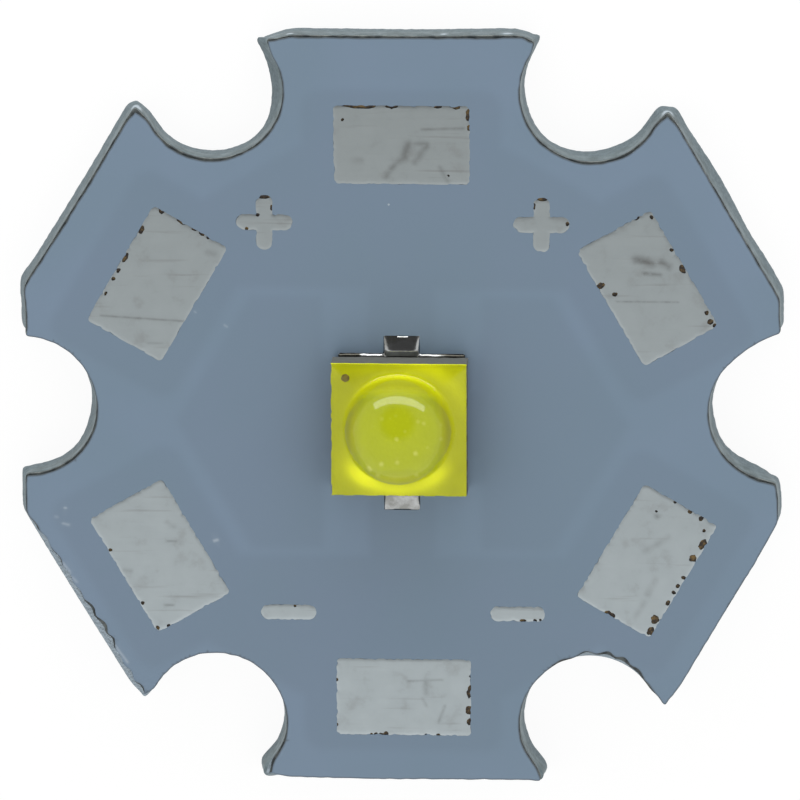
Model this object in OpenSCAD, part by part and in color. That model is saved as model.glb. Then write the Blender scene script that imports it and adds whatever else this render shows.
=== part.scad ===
// Star-shaped metal-core circuit board with one domed power LED
// Origin at the centre of the underside, +Z out of the LED, +Y towards the plus marks

/* [Star board] */
// Distance between opposite long edges
across_flats = 20.1; // [19:0.1:24]
// Width across the cropped points at the left and right
across_sides = 19.8; // [19.2:0.1:23]
// Diameter of the six screw notches
notch_d = 3.7; // [3:0.1:4]
// Diameter of the circle through the notch centres
notch_pcd = 19.7; // [19.2:0.1:20.4]
// How far past its centre a notch starts to open out
mouth_reach = 0.1; // [0:0.05:0.5]
// Angle at which the mouth of a notch opens out
mouth_angle = 10; // [6:1:30]
// Height of the smooth upper zone of the punched edge
smooth_h = 0.35; // [0.1:0.05:0.6]
// How far the torn zone under it flares out at the underside
torn_flare = 0.15; // [0.02:0.01:0.2]

/* [Layers] */
// Thickness of the aluminium plate
base_t = 0.8; // [0.8:0.1:2]
// Thickness of the insulating layer on the plate
dielectric_t = 0.1; // [0.06:0.02:0.2]
// Thickness of the etched copper
copper_t = 0.07; // [0.035:0.005:0.14]
// Thickness of the solder mask
mask_t = 0.03; // [0.02:0.005:0.06]
// Thickness of the mask on the flanks of the copper
mask_flank = 0.06; // [0.04:0.01:0.1]
// Thickness of the tin on bare copper
tin_t = 0.04; // [0.02:0.005:0.08]

/* [Printed pattern] */
// Shift of the printed pattern along Y against the punched outline
print_shift = -0.35; // [-0.4:0.05:0.4]
// Gap between the thermal copper and the copper above and below it
copper_gap = 0.45; // [0.25:0.05:0.6]
// Gap between the thermal copper and the copper of the side pads
copper_gap_side = 0.65; // [0.3:0.05:0.8]
// Radius on the outer corners of the copper
copper_corner_r = 0.35; // [0.1:0.05:0.6]
// Height of the thermal copper, from top edge to bottom edge
thermal_h = 6.6; // [6:0.1:7.2]
// Width of the two cut-outs in the thermal copper
cutout_w = 4.4; // [4.2:0.1:5]
// Width of the copper neck between a pad area and the LED
neck_w = 1.5; // [1.2:0.1:2]

/* [Wire pads] */
// Length of a wire pad, along the board's edge
pad_w = 3.55; // [3:0.05:4]
// Depth of a wire pad, across the edge
pad_h = 2.1; // [1.6:0.05:2.4]
// Distance from the board's edge to a pad in the unshifted pattern
pad_edge = 1.6; // [1.2:0.05:1.8]
// Radius on the corners of a pad
pad_corner_r = 0.12; // [0.04:0.02:0.3]
// How far the copper runs past a pad
pad_margin = 0.7; // [0.5:0.05:0.8]
// How far the copper runs past the outer side of the middle pads
pad_margin_outer = 0.35; // [0.2:0.05:0.5]

/* [Polarity marks] */
// Length of each stroke of a mark
mark_len = 1.42; // [1:0.02:1.6]
// Width of each stroke of a mark
mark_w = 0.38; // [0.24:0.02:0.5]
// Distance of a plus mark from the centre line
plus_x = 3.6; // [3.2:0.05:3.8]
// Distance of the plus marks from the LED's centre
plus_y = 5.36; // [5.2:0.04:5.6]
// Distance of a minus mark from the centre line
minus_x = 3.02; // [2.6:0.02:3.6]
// Distance of the minus marks from the LED's centre
minus_y = 5.16; // [4.8:0.04:5.6]

/* [Solder] */
// Height of the solder between copper and LED
solder_t = 0.09; // [0.05:0.01:0.14]
// How far a solder land shows past the edge of the LED
land_show = 0.1; // [0.04:0.02:0.2]
// Width of the solder tab at the middle of a land
tab_w = 0.94; // [0.6:0.02:1.1]
// Length of the solder tab past the edge of the LED
tab_l = 0.58; // [0.4:0.02:0.8]
// Height of the solder bead over the tab
bead_h = 0.12; // [0.06:0.02:0.2]
// Margin of a mask opening round the LED's land
land_clear = 0.05; // [0.02:0.01:0.1]
// How far the copper runs on under the mask round a land
land_overlap = 0.06; // [0.04:0.01:0.1]

/* [LED] */
// Width of the square LED package
led_w = 3.55; // [3.4:0.05:3.7]
// Thickness of the ceramic substrate
ceramic_t = 0.68; // [0.5:0.02:0.9]
// Thickness of the metal lands under the ceramic
land_t = 0.03; // [0.02:0.005:0.06]
// Length of a land, along X
land_w = 3.2; // [2.8:0.05:3.3]
// Depth of the positive and the negative land
land_d = 0.5; // [0.4:0.02:0.6]
// Distance from the LED's edge to a land
land_inset = 0.1; // [0.05:0.01:0.2]
// Depth of the thermal land
thermal_land_d = 1.3; // [1:0.05:1.4]
// Thickness of the metal under the chip
die_metal_t = 0.02; // [0.01:0.005:0.04]
// Gap between the two metal areas under the chip
die_metal_gap = 0.12; // [0.08:0.01:0.2]
// Diameter of a via through the ceramic
via_d = 0.2; // [0.1:0.02:0.3]
// Distance of a via from the centre line
via_x = 0.5; // [0.3:0.05:0.6]
// Width of the square light-emitting chip
chip_w = 1.5; // [1:0.05:1.8]
// Thickness of the chip
chip_t = 0.1; // [0.06:0.01:0.15]
// Thickness of the phosphor coat
phosphor_t = 0.06; // [0.03:0.01:0.1]
// Thickness of the clear silicone round the dome
skirt_t = 0.06; // [0.04:0.01:0.1]
// Diameter of the dome
dome_d = 2.9; // [2.6:0.05:3.2]
// Height of the straight foot of the dome
dome_foot = 0.05; // [0.02:0.01:0.15]
// Diameter of the corner dot
dot_d = 0.23; // [0.15:0.01:0.3]
// Thickness of the corner dot
dot_t = 0.02; // [0.01:0.005:0.03]
// Distance of the dot's centre from the LED's two edges
dot_inset = 0.38; // [0.24:0.02:0.4]

/* [Hidden] */
$fn = 96;

// Overshoot of every cutter past the face it cuts
over = 1;
sides = 6;
side_step = 360 / sides;

// Punched outline
board_span = across_flats * 2;
apothem = across_flats / 2;
notch_r = notch_d / 2;
notch_at = notch_pcd / 2;
mouth_y = sqrt(notch_r * notch_r - mouth_reach * mouth_reach);
mouth_back = notch_r * sin(mouth_angle);
mouth_from = notch_at + mouth_reach - mouth_back;
mouth_to = mouth_from + board_span;
torn_h = base_t - smooth_h;
flare_angle = atan(torn_flare / torn_h);

// Heights of the layers
dielectric_z = base_t;
copper_z = dielectric_z + dielectric_t;
copper_top = copper_z + copper_t;
land_z = copper_top + solder_t;
ceramic_z = land_z + land_t;
die_metal_z = ceramic_z + ceramic_t;
chip_z = die_metal_z + die_metal_t;
skirt_z = die_metal_z + phosphor_t;
dome_z = skirt_z + skirt_t;

// Wire pads and the copper round them
pad_r = apothem - pad_edge - pad_h / 2;
pad_area_w = pad_w + 2 * pad_margin;
pad_in = pad_r - pad_h / 2 - pad_margin;
pad_out = pad_r + pad_h / 2 + pad_margin;
pad_out_middle = pad_r + pad_h / 2 + pad_margin_outer;
web_r = pad_r + pad_margin * tan(side_step / 2);
pour_y = thermal_h / 2 + copper_gap;
thermal_apothem = pad_in - copper_gap_side;

// Lands, all centred on the LED
led_half = led_w / 2;
land_y = led_half - land_inset - land_d / 2;
open_in = land_y - land_d / 2 - land_clear;
open_out = led_half + land_show;
open_w = land_w + 2 * land_clear;
thermal_open_h = thermal_land_d + 2 * land_clear;
bar_in = open_in - land_overlap;
bar_out = open_out + land_overlap;
bar_w = open_w + 2 * land_overlap;
strip_h = thermal_open_h + 2 * land_overlap;

// A point at a distance along, and beside, a direction from the LED's centre
function polar_point(angle, along, beside) =
    [along * cos(angle) - beside * sin(angle), along * sin(angle) + beside * cos(angle)];

// Corner where two lines meet, each given by its normal's angle and distance
function line_meet(a, da, b, db) =
    [(da * sin(b) - db * sin(a)) / sin(b - a), (db * cos(a) - da * cos(b)) / sin(b - a)];

// Rectangle with round corners, centred
module round_rect(w, h, r) {
    square([w - 2 * r, h], center = true);
    square([w, h - 2 * r], center = true);
    for (x = [-1, 1], y = [-1, 1])
        translate([x * (w / 2 - r), y * (h / 2 - r)])
            circle(r);
}

// Stroke of a polarity mark, with round ends
module stroke(l, w) {
    square([l - w, w], center = true);
    for (x = [-1, 1])
        translate([x * (l - w) / 2, 0])
            circle(d = w);
}

// Everything printed sits off the punched outline by the same shift
module printed() {
    translate([0, print_shift, 0])
        children();
}

// Punched star in plan
module star_outline() {
    difference() {
        intersection() {
            circle(r = apothem / cos(side_step / 2), $fn = sides);
            square([across_sides, board_span], center = true);
        }
        for (i = [0 : sides - 1])
            rotate(i * side_step)
                notch_outline();
    }
}

// One screw notch with its mouth opened out, along +X
module notch_outline() {
    start = mouth_y - mouth_back * tan(mouth_angle);
    end = start + board_span * tan(mouth_angle);
    translate([notch_at, 0])
        circle(notch_r);
    polygon([[mouth_from, -start], [mouth_from, start], [mouth_to, end], [mouth_to, -end]]);
}

// Plane that leans outwards down to the underside, cutting everything beyond it along +X
module flared_side(distance) {
    translate([distance, 0, torn_h])
        rotate([0, -flare_angle, 0])
            translate([0, -board_span / 2, -board_span])
                cube([board_span, board_span, 2 * board_span]);
}

// Torn lower zone of the punched plate
module torn_zone() {
    difference() {
        cylinder(r = board_span / 2, h = torn_h);
        for (i = [0 : sides - 1]) {
            rotate([0, 0, (i + 0.5) * side_step])
                flared_side(apothem);
            rotate([0, 0, i * side_step])
                torn_notch();
        }
        for (turn = [0, 180])
            rotate([0, 0, turn])
                flared_side(across_sides / 2);
    }
}

// Notch through the torn zone, narrowing down to the underside
module torn_notch() {
    translate([notch_at, 0, -torn_h])
        cylinder(r1 = notch_r - 2 * torn_flare, r2 = notch_r + torn_flare, h = 3 * torn_h);
    intersection() {
        torn_mouth_side();
        mirror([0, 1, 0])
            torn_mouth_side();
        translate([mouth_from, -board_span / 2, -over])
            cube([board_span, board_span, torn_h + 2 * over]);
    }
}

// Everything on the open side of one wall of a notch's mouth in the torn zone
module torn_mouth_side() {
    translate([notch_at + mouth_reach, mouth_y, 0])
        rotate([0, 0, mouth_angle - 90])
            flared_side(0);
}

// Copper round the pads on one side of the board, with its neck and the bar under the LED
module pad_area(grow) {
    web_inner = line_meet(side_step / 2, pad_in - grow, 90, pour_y - grow);
    web_low = [web_inner[0] + pad_margin, web_inner[1]];
    web_side = polar_point(side_step / 2, web_r + grow / cos(side_step / 2), pad_w / 2);
    web_top = polar_point(90, web_r + grow / cos(side_step / 2), -pad_w / 2);
    for (angle = [side_step / 2, 180 - side_step / 2])
        rotate(angle - 90)
            translate([0, (pad_in + pad_out) / 2])
                round_rect(pad_area_w + 2 * grow, pad_out - pad_in + 2 * grow, copper_corner_r + grow);
    translate([0, (pour_y + pad_out_middle) / 2])
        round_rect(pad_area_w + 2 * grow, pad_out_middle - pour_y + 2 * grow, copper_corner_r + grow);
    polygon([
        web_low,
        web_side,
        web_top,
        [-web_top[0], web_top[1]],
        [-web_side[0], web_side[1]],
        [-web_low[0], web_low[1]]
    ]);
    translate([-neck_w / 2 - grow, bar_in - grow])
        square([neck_w + 2 * grow, pad_r - bar_in]);
    translate([-bar_w / 2 - grow, bar_in - grow])
        square([bar_w + 2 * grow, bar_out - bar_in + 2 * grow]);
}

// Thermal copper, a flattened hexagon with a cut-out for each neck
module thermal_area(grow) {
    top = thermal_h / 2 + grow;
    side = thermal_apothem + grow;
    shoulder = line_meet(side_step / 2, side, 90, top);
    end = line_meet(side_step / 2, side, -side_step / 2, side);
    difference() {
        polygon([end, shoulder, [-shoulder[0], shoulder[1]], -end,
            -shoulder, [shoulder[0], -shoulder[1]]]);
        for (y = [-1, 1])
            translate([0, y * (strip_h / 2 + grow + board_span / 2)])
                square([cutout_w - 2 * grow, board_span], center = true);
    }
}

// All copper seen from above
module copper_plan(grow) {
    pad_area(grow);
    mirror([0, 1])
        pad_area(grow);
    thermal_area(grow);
}

// Wire pad in plan, turned to its place
module pad_plan(angle) {
    rotate(angle - 90)
        translate([0, pad_r])
            round_rect(pad_w, pad_h, pad_corner_r);
}

// Plus mark in plan
module plus_plan(x) {
    translate([x, plus_y])
        for (turn = [0, 90])
            rotate(turn)
                stroke(mark_len, mark_w);
}

// Minus mark in plan
module minus_plan(x) {
    translate([x, -minus_y])
        stroke(mark_len, mark_w);
}

// Opening for the positive land with its tab, as printed on the +Y side
module land_plan() {
    translate([-open_w / 2, open_in])
        square([open_w, open_out - open_in]);
    translate([-tab_w / 2, open_in])
        square([tab_w, led_half + tab_l - open_in]);
}

// Every opening in the mask
module mask_openings() {
    for (i = [0 : sides - 1])
        pad_plan((i + 0.5) * side_step);
    for (x = [-1, 1]) {
        plus_plan(x * plus_x);
        minus_plan(x * minus_x);
    }
    for (side = [0, 1])
        mirror([0, side])
            land_plan();
    square([open_w, thermal_open_h], center = true);
}

// Solder under one land, crowned over its tab
module solder_joint() {
    translate([0, 0, copper_top])
        linear_extrude(solder_t)
            translate([-open_w / 2, open_in])
                square([open_w, open_out - open_in]);
    tab_mid = led_half + tab_l / 2;
    crown_x = (tab_w * tab_w / 4 + bead_h * bead_h) / (2 * bead_h);
    crown_y = (tab_l * tab_l / 4 + bead_h * bead_h) / (2 * bead_h);
    bead_z = copper_top + mask_t;
    translate([-tab_w / 2, led_half, copper_top])
        cube([tab_w, tab_l, mask_t]);
    intersection() {
        translate([-tab_w / 2, led_half, bead_z])
            cube([tab_w, tab_l, bead_h]);
        translate([0, led_half, bead_z + bead_h - crown_x])
            rotate([-90, 0, 0])
                cylinder(r = crown_x, h = tab_l);
        translate([-tab_w / 2, tab_mid, bead_z + bead_h - crown_y])
            rotate([0, 90, 0])
                cylinder(r = crown_y, h = tab_w);
    }
}

// Tin on a bare piece of copper
module tin() {
    color("#A6ABAE")
        printed()
            translate([0, 0, copper_top])
                linear_extrude(tin_t)
                    children();
}

// Etched copper of one area
module copper() {
    color("#B46A3C")
        printed()
            translate([0, 0, copper_z])
                linear_extrude(copper_t)
                    children();
}

// Flat square plate of the LED's own width
module led_plate(z, t) {
    translate([-led_half, -led_half, z])
        cube([led_w, led_w, t]);
}

module aluminium_base() {
    color("#B9BCBE") {
        torn_zone();
        translate([0, 0, torn_h])
            linear_extrude(smooth_h)
                star_outline();
    }
}

module dielectric_layer() {
    color("#2E2F33")
        translate([0, 0, dielectric_z])
            linear_extrude(dielectric_t)
                star_outline();
}

module copper_positive() {
    copper()
        pad_area(0);
}

module copper_negative() {
    copper()
        mirror([0, 1])
            pad_area(0);
}

module copper_thermal() {
    copper()
        thermal_area(0);
}

module solder_mask() {
    color("#758594")
        difference() {
            translate([0, 0, copper_z])
                union() {
                    linear_extrude(mask_t)
                        star_outline();
                    linear_extrude(copper_t + mask_t)
                        printed()
                            copper_plan(mask_flank);
                }
            printed()
                translate([0, 0, copper_z - over])
                    linear_extrude(over + copper_t)
                        copper_plan(0);
            printed()
                translate([0, 0, copper_z])
                    linear_extrude(copper_t + mask_t + over)
                        mask_openings();
        }
}

module pad_tin_top() {
    tin() pad_plan(90);
}

module pad_tin_upper_left() {
    tin() pad_plan(150);
}

module pad_tin_lower_left() {
    tin() pad_plan(210);
}

module pad_tin_bottom() {
    tin() pad_plan(270);
}

module pad_tin_lower_right() {
    tin() pad_plan(330);
}

module pad_tin_upper_right() {
    tin() pad_plan(30);
}

module plus_mark_left() {
    tin() plus_plan(-plus_x);
}

module plus_mark_right() {
    tin() plus_plan(plus_x);
}

module minus_mark_left() {
    tin() minus_plan(-minus_x);
}

module minus_mark_right() {
    tin() minus_plan(minus_x);
}

module solder_positive() {
    color("#8D9092")
        printed()
            solder_joint();
}

module solder_negative() {
    color("#8D9092")
        printed()
            mirror([0, 1, 0])
                solder_joint();
}

module solder_thermal() {
    color("#8D9092")
        printed()
            translate([0, 0, copper_top])
                linear_extrude(solder_t)
                    square([open_w, thermal_open_h], center = true);
}

module led_land_positive() {
    color("#D9B45A")
        printed()
            translate([-land_w / 2, land_y - land_d / 2, land_z])
                cube([land_w, land_d, land_t]);
}

module led_land_negative() {
    color("#D9B45A")
        printed()
            translate([-land_w / 2, -land_y - land_d / 2, land_z])
                cube([land_w, land_d, land_t]);
}

module led_land_thermal() {
    color("#D9B45A")
        printed()
            translate([-land_w / 2, -thermal_land_d / 2, land_z])
                cube([land_w, thermal_land_d, land_t]);
}

// Centres of the four vias
module at_vias() {
    for (x = [-1, 1], y = [-1, 1])
        translate([x * via_x, y * land_y, ceramic_z])
            children();
}

module led_ceramic() {
    color("#A9ACA8")
        printed()
            difference() {
                led_plate(ceramic_z, ceramic_t);
                at_vias()
                    translate([0, 0, -over])
                        cylinder(d = via_d, h = ceramic_t + 2 * over);
            }
}

module led_vias() {
    color("#B87333")
        printed()
            at_vias()
                cylinder(d = via_d, h = ceramic_t);
}

// Metal from the middle of the chip out to its vias, on the +Y side
module die_metal() {
    translate([-chip_w / 2, die_metal_gap / 2, die_metal_z])
        cube([chip_w, land_y + via_d - die_metal_gap / 2, die_metal_t]);
}

module die_metal_positive() {
    color("#D9B45A")
        printed()
            die_metal();
}

module die_metal_negative() {
    color("#D9B45A")
        printed()
            mirror([0, 1, 0])
                die_metal();
}

module led_chip() {
    color("#6E7F8C")
        printed()
            translate([-chip_w / 2, -chip_w / 2, chip_z])
                cube([chip_w, chip_w, chip_t]);
}

// Phosphor where it stands over the chip
module phosphor_crown() {
    w = chip_w + 2 * phosphor_t;
    translate([-w / 2, -w / 2, die_metal_z])
        cube([w, w, die_metal_t + chip_t + phosphor_t]);
}

module led_phosphor() {
    color("#D8D23C")
        printed()
            difference() {
                union() {
                    led_plate(die_metal_z, phosphor_t);
                    phosphor_crown();
                }
                die_metal();
                mirror([0, 1, 0])
                    die_metal();
                translate([-chip_w / 2, -chip_w / 2, die_metal_z])
                    cube([chip_w, chip_w, die_metal_t + chip_t]);
            }
}

// Corner dot, printed on the phosphor
module dot() {
    translate([-led_half + dot_inset, led_half - dot_inset, skirt_z])
        cylinder(d = dot_d, h = dot_t);
}

module led_corner_dot() {
    color("#6B5A3A")
        printed()
            dot();
}

module led_dome() {
    color("#F1EFA8", 0.5)
        printed()
            difference() {
                union() {
                    led_plate(skirt_z, skirt_t);
                    translate([0, 0, skirt_z])
                        cylinder(d = dome_d, h = skirt_t + dome_foot);
                    translate([0, 0, dome_z + dome_foot])
                        intersection() {
                            sphere(d = dome_d);
                            cylinder(d = dome_d + over, h = dome_d);
                        }
                }
                phosphor_crown();
                dot();
            }
}

aluminium_base();
dielectric_layer();
copper_positive();
copper_negative();
copper_thermal();
solder_mask();
pad_tin_top();
pad_tin_upper_left();
pad_tin_lower_left();
pad_tin_bottom();
pad_tin_lower_right();
pad_tin_upper_right();
plus_mark_left();
plus_mark_right();
minus_mark_left();
minus_mark_right();
solder_positive();
solder_negative();
solder_thermal();
led_land_positive();
led_land_negative();
led_land_thermal();
led_ceramic();
led_vias();
die_metal_positive();
die_metal_negative();
led_chip();
led_phosphor();
led_corner_dot();
led_dome();
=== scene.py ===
import math

import bpy
import numpy as np
from mathutils import Matrix, Vector, noise
from mathutils.geometry import delaunay_2d_cdt


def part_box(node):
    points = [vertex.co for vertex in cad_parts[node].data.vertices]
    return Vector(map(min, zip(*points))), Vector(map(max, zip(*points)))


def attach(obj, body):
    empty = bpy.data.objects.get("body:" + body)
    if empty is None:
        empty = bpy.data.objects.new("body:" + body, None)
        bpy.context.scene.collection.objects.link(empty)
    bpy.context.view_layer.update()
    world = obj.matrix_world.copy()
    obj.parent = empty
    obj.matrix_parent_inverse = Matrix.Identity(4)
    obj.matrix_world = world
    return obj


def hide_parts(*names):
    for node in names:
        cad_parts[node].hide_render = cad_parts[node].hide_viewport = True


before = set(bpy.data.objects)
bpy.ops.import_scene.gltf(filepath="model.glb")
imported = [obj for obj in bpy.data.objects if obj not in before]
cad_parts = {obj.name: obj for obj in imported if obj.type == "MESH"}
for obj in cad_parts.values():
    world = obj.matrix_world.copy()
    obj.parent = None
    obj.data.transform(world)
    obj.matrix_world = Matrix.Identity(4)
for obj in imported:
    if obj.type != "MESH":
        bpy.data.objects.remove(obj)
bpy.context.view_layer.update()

# All sizes below are in millimetres and become metres where a mesh is written
MM = 0.001

# Heights of the layers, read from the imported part
BASE_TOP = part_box("aluminium_base")[1].z / MM
COPPER_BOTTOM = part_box("copper_thermal")[0].z / MM
COPPER_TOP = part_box("copper_thermal")[1].z / MM
MASK_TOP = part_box("solder_mask")[1].z / MM
MASK_T = MASK_TOP - COPPER_TOP
TIN_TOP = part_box("pad_tin_top")[1].z / MM
TIN_T = TIN_TOP - COPPER_TOP
SOLDER_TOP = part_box("solder_thermal")[1].z / MM
CERAMIC_LOW, CERAMIC_HIGH = (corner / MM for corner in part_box("led_ceramic"))
PHOSPHOR_LOW, PHOSPHOR_HIGH = (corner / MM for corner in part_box("led_phosphor"))
CHIP_LOW, CHIP_HIGH = (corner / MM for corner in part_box("led_chip"))
DOME_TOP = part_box("led_dome")[1].z / MM
LED_CENTRE = (CERAMIC_LOW + CERAMIC_HIGH) / 2
LED_HALF = (CERAMIC_HIGH.x - CERAMIC_LOW.x) / 2

# Punched edge of the plate: the torn zone flares out except where it faces +Y, and leans towards -X
EDGE_STEP = 0.06
EDGE_ROWS = 18
ROW_CROWDING = 1.15
EDGE_EASE = 6
ROLL = 0.012
BREAK_DEPTH = 0.35
BREAK_WAVE = 0.1
TORN_FLARE = 0.13
TORN_LEAN = -0.05
TORN_GRAIN = 0.012
BLUNT_PASSES = 14
BLUNT_DEPTH = 0.3

# How the punched outline strays from the drawn star: place on the board, reach, and shift along X and Y
OUTLINE_STRAYS = (
    (0, 10.05, 3.0, 0, -0.07), (-2.6, 10.05, 1.2, 0, -0.03), (-3.45, 10.05, 0.4, 0.06, -0.14),
    (3.55, 10.05, 0.3, -0.08, -0.16), (-6.95, 8.15, 0.3, 0, -0.06), (6.95, 8.1, 0.3, 0, -0.06),
    (-9.6, 3.8, 2.0, -0.06, 0.035), (-9.9, 3.1, 0.7, 0, 0.16), (-9.9, 2.4, 0.8, 0.1, 0),
    (9.9, 3.1, 0.7, 0, 0.1), (9.9, 1.85, 0.5, 0, 0.26), (9.2, 1.75, 0.45, 0, 0.06),
    (9.9, -1.9, 0.35, -0.08, -0.04), (9.9, 2.7, 0.9, -0.06, 0), (9.9, -2.7, 0.9, -0.06, 0),
    (-7.2, -7.2, 1.8, 0.03, 0.017), (-6.75, -7.9, 0.35, 0.12, 0.15), (6.75, -7.9, 0.35, -0.05, 0.15),
    (8.6, -5.0, 2.2, -0.01, 0.005), (-3.5, -9.8, 0.5, -0.12, 0), (3.5, -9.9, 0.5, 0.12, -0.03),
    (0, -10.05, 4.0, 0, -0.05),
)

# Where the underside strays further: place, reach, and shift along X and Y
UNDERSIDE_STRAYS = (
    (-3.5, 10.05, 0.45, -0.1, -0.15), (-3.25, 8.9, 1.1, -0.18, 0), (3.55, 10.05, 0.3, 0.12, -0.03),
    (-7.3, 8.1, 0.3, -0.1, 0.09), (-6.75, 8.25, 0.3, 0.05, 0.06), (6.6, 8.05, 0.3, -0.07, 0.1),
    (7.25, 7.95, 0.3, 0.06, 0.09), (6.95, 8.15, 0.25, 0, -0.07), (5.5, 7.1, 1.1, -0.02, 0.09),
    (8.2, 6.0, 1.5, 0.09, 0.05), (9.6, 3.7, 0.8, 0.06, 0.04), (9.1, -1.5, 0.8, 0, 0.13),
    (9.9, -1.9, 0.35, -0.05, -0.06), (9.5, 1.7, 0.6, 0, -0.08), (-3.2, -8.6, 0.9, 0.08, 0),
    (-3.5, -9.95, 0.35, -0.05, -0.02), (3.5, -9.85, 0.6, 0.1, -0.03), (0, 10.05, 3.0, 0, -0.02),
)

# Bright facets on the edge, partly burnish that the die left and partly painted highlight: place, reach,
# and how far down they go
BURNISH_AND_HIGHLIGHT = (
    (-6.95, 8.1, 0.3, 0.6), (6.85, 8.1, 0.3, 0.5), (9.6, -1.65, 0.2, 0.3), (-2.9, 10.05, 0.14, 0.3),
    (-0.57, 10.05, 0.08, 0.3), (1.1, 10.05, 0.1, 0.3), (2.75, 10.05, 0.16, 0.3),
)

# Corners of the bottom tab, where the tear starts right under the mask: place and reach
EARLY_TEARS = ((3.55, -10.0, 0.4), (-3.55, -10.0, 0.4))

# Insulating layer: how uneven its edge is, and the spacing of the points inside it
LAYER_UNEVEN = 0.008
LAYER_GRID = 1.2

# Mask ink: how far it is drawn back from the punched edge, how wide the painted shade along its edge is,
# and how it runs over the copper
MASK_INSET = 0.012
MASK_INSET_BACK = 0.036
MASK_INSET_LEAST = 0.004
MASK_WEAR = 0.025
MASK_EDGE_SHADE = 0.045
MASK_GRID = 0.3
MASK_DIP = 0.008
FLANK_STEP = 0.14
FLANK_OUT = 0.3
FLANK_IN = 0.05
FLANK_ROWS = (-FLANK_IN, 0.04, 0.12, 0.2, FLANK_OUT)
EDGE_CLEAR = 0.03
OPENING_CLEAR = 0.04

# Chipped stretches of the edge: place, reach, and how far the mask and the dark layer have broken back
EDGE_CHIPS = (
    (-9.72, -3.26, 0.3, 0.12, 0.08), (-9.45, -3.73, 0.4, 0.16, 0.15), (-9.18, -4.19, 0.35, 0.22, 0.18),
    (-8.91, -4.65, 0.4, 0.2, 0.2), (-8.64, -5.12, 0.4, 0.21, 0.2), (-8.37, -5.58, 0.4, 0.29, 0.2),
    (-8.1, -6.05, 0.4, 0.31, 0.21), (-7.86, -6.46, 0.35, 0.28, 0.22), (-7.62, -6.87, 0.4, 0.2, 0.2),
    (-7.35, -7.34, 0.4, 0.2, 0.2), (-7.11, -7.75, 0.3, 0.24, 0.18), (-6.9, -8.1, 0.3, 0.18, 0.17),
    (4.2, -6.83, 0.3, 0.08, 0.02), (4.85, -6.68, 0.25, 0.2, 0.14), (5.35, -6.73, 0.3, 0.22, 0.12),
    (5.75, -6.88, 0.3, 0.22, 0.1), (6.1, -7.1, 0.25, 0.16, 0.06), (6.45, -7.5, 0.25, 0.05, 0.0),
    (-3.6, -10.0, 0.35, 0.13, 0.1), (-6.95, 8.1, 0.3, 0.07, 0.0), (6.95, 8.05, 0.35, 0.05, 0.0),
)

# Pale scuffs on the mask: from and to on the board, half width and depth of tone
SCUFFS = (
    (-8.86, -2.75, -8.83, -2.75, 0.03, 0.5), (-9.1, -2.99, -9.06, -3.0, 0.04, 0.2),
    (-8.92, -3.17, -8.75, -3.21, 0.035, 0.35), (-4.93, -3.6, -4.86, -3.58, 0.04, 0.55),
    (-8.92, -4.27, -8.73, -4.52, 0.04, 0.4), (-8.69, -4.64, -8.57, -4.77, 0.04, 0.3),
    (-7.75, -6.26, -7.25, -6.96, 0.035, 0.4), (-4.62, 2.24, -4.56, 2.2, 0.03, 0.25),
    (-5.4, 2.6, -5.37, 2.58, 0.025, 0.25),
)

# Strokes that mark a surface: step along them, and rows of points beside them in half widths
STROKE_STEP = 0.06
STROKE_ROWS = (-1.6, -0.8, 0.0, 0.8, 1.6)

# Tin on the pads and marks
TIN_GRID = 0.11
TIN_EDGE_STEP = 0.035
TIN_RAGGED = 0.014
TIN_SHOULDER = 0.06
TIN_RIPPLE = 0.002
TIN_ROWS = (0.03, 0.08)
SPOT_SIDES = 16
SPOT_CLEAR = 0.01

# How far each printed opening lies off the drawing: shift along X and Y, and spread outward and all round
PRINT_OFF = {
    "pad_tin_top": (0.015, 0.06, 0.0, 0.0),
    "pad_tin_upper_left": (0.035, -0.015, 0.06, 0.01),
    "pad_tin_upper_right": (-0.01, -0.01, 0.06, 0.01),
    "pad_tin_lower_right": (0.0, 0.02, 0.06, 0.01),
    "pad_tin_bottom": (0.025, -0.07, 0.0, 0.0),
    "pad_tin_lower_left": (0.04, 0.02, 0.06, 0.01),
    "plus_mark_left": (0.035, 0.01, 0.0, 0.03),
    "plus_mark_right": (0.045, 0.0, 0.0, 0.03),
    "minus_mark_left": (0.025, -0.015, 0.0, 0.02),
    "minus_mark_right": (0.0, 0.0, 0.0, 0.02),
}
PRINT_RAGGED = 0.045

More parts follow.
